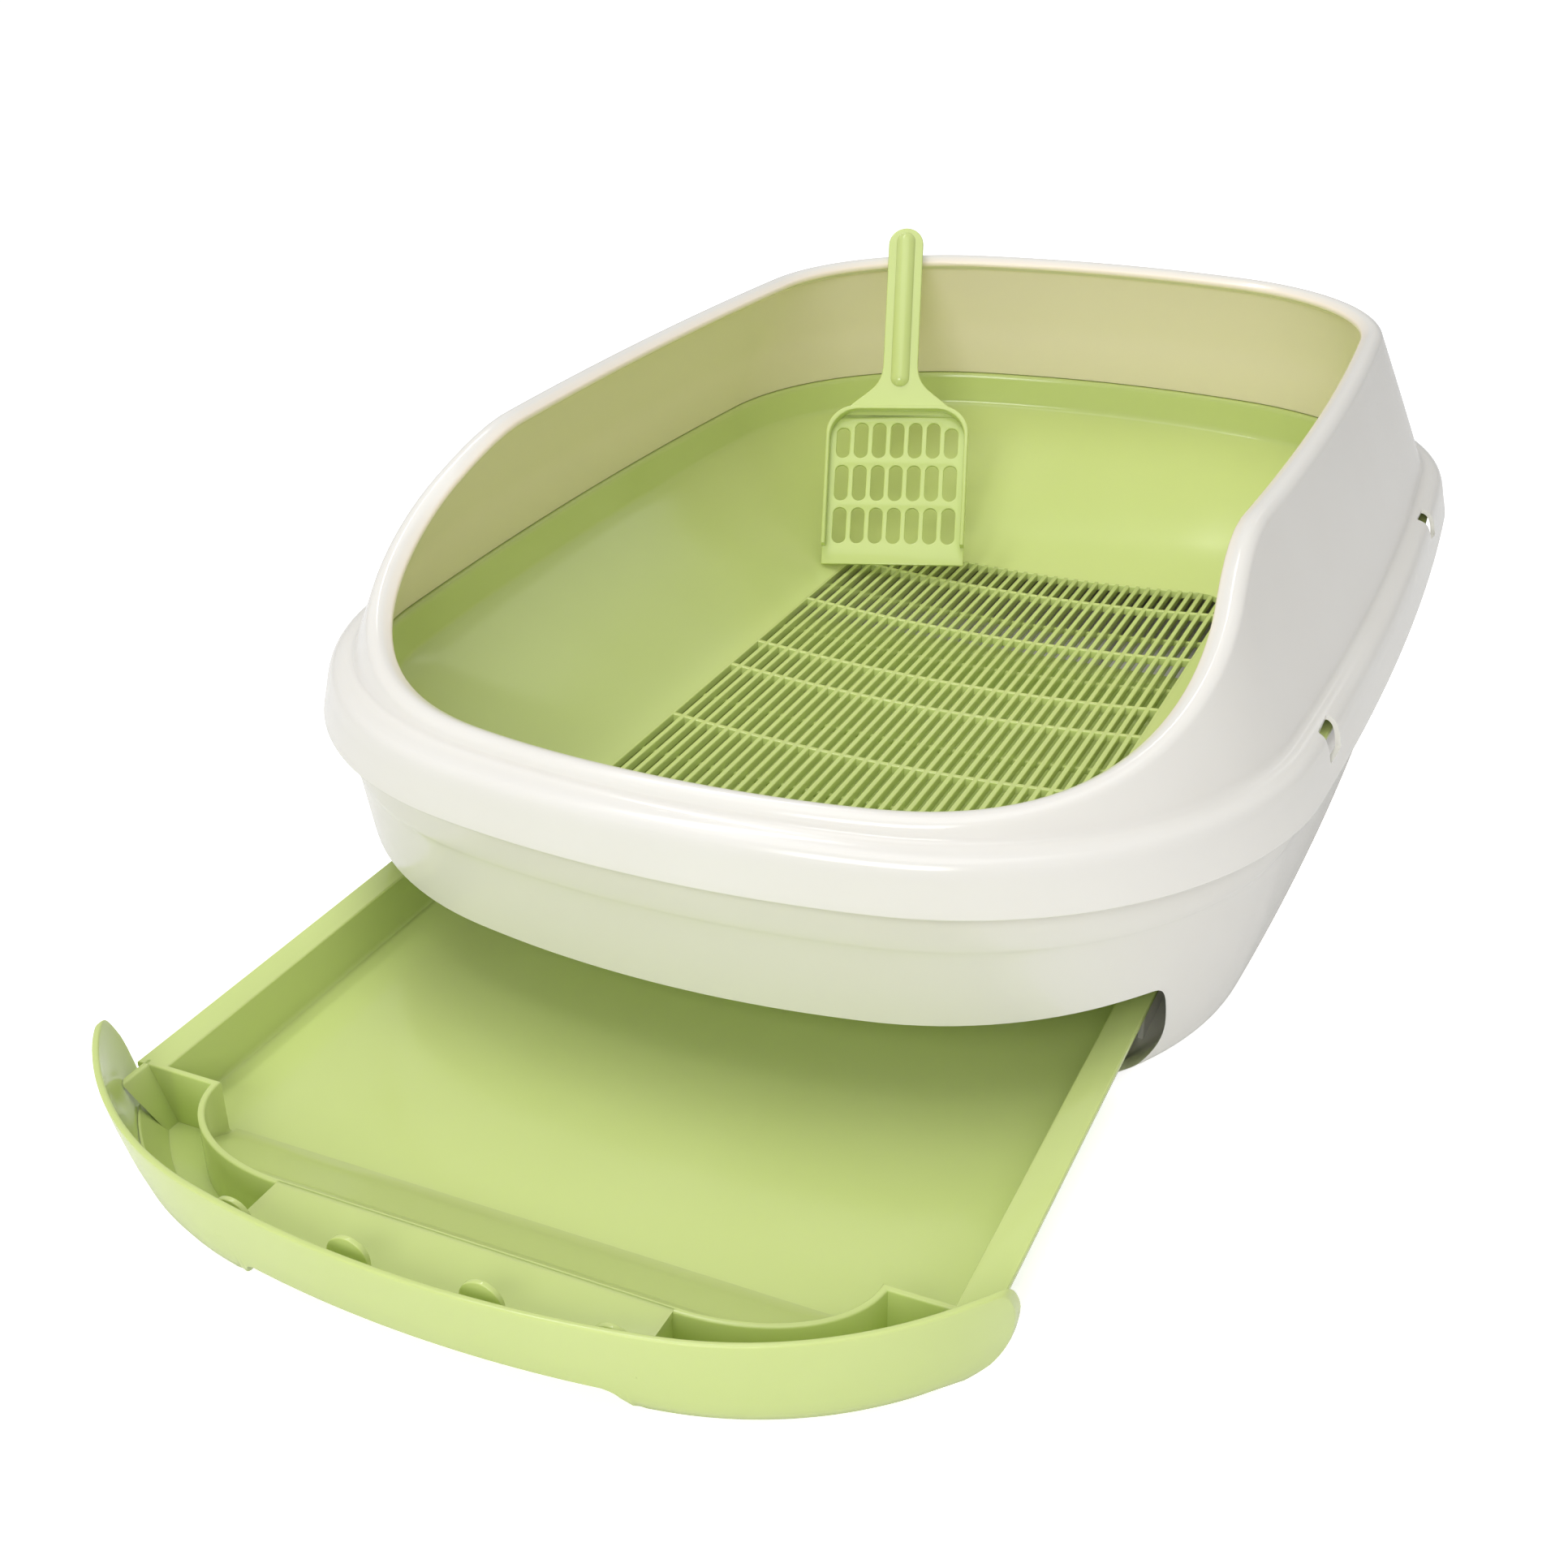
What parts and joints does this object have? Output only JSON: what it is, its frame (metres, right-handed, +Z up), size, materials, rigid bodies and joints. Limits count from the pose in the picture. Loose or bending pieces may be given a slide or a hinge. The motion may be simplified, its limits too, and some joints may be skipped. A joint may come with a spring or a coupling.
{
  "type": "drawer litter box",
  "caption": "Rounded litter box with a sieve basin hung in a tub, a raised splash guard, a pull-out waste drawer and a slotted scoop.",
  "frame": {"origin": "on the floor, in the middle of the whole part in plan with its drawer open as modelled; the tub's own centre lies 74.8 mm behind it", "axes": "+X to the right seen from the front, +Y to the back, away from the drawer, +Z up"},
  "size_m": [0.42, 0.7656, 0.208],
  "materials": {
    "white_shell": "moulded, gloss",
    "green_shell": "moulded, gloss",
    "pad_rubber": "matt"
  },
  "bodies": {
    "tub": {"base_tub": "white_shell", "foot_pad_front_left": "pad_rubber", "foot_pad_front_right": "pad_rubber", "foot_pad_back_left": "pad_rubber", "foot_pad_back_right": "pad_rubber"},
    "basin": {"sieve_basin": "green_shell"},
    "guard": {"splash_guard": "white_shell"},
    "drawer": {"drawer_tray": "green_shell", "drawer_front": "green_shell"},
    "scoop": {"litter_scoop": "green_shell"}
  },
  "joints": [
    {"name": "drawer_slide", "type": "slide", "parent": "tub", "child": "drawer", "axis": [0, -1, 0], "range_m": [-0.165, 0.36]},
    {"name": "basin_lift", "type": "slide", "parent": "tub", "child": "basin", "axis": [0, 0, 1], "range_m": [0, 0.12]},
    {"name": "guard_lift", "type": "slide", "parent": "basin", "child": "guard", "axis": [0, 0, 1], "range_m": [0, 0.05]},
    {"name": "scoop_lift", "type": "slide", "parent": "guard", "child": "scoop", "axis": [0, 0, 1], "range_m": [0, 0.16]}
  ]
}
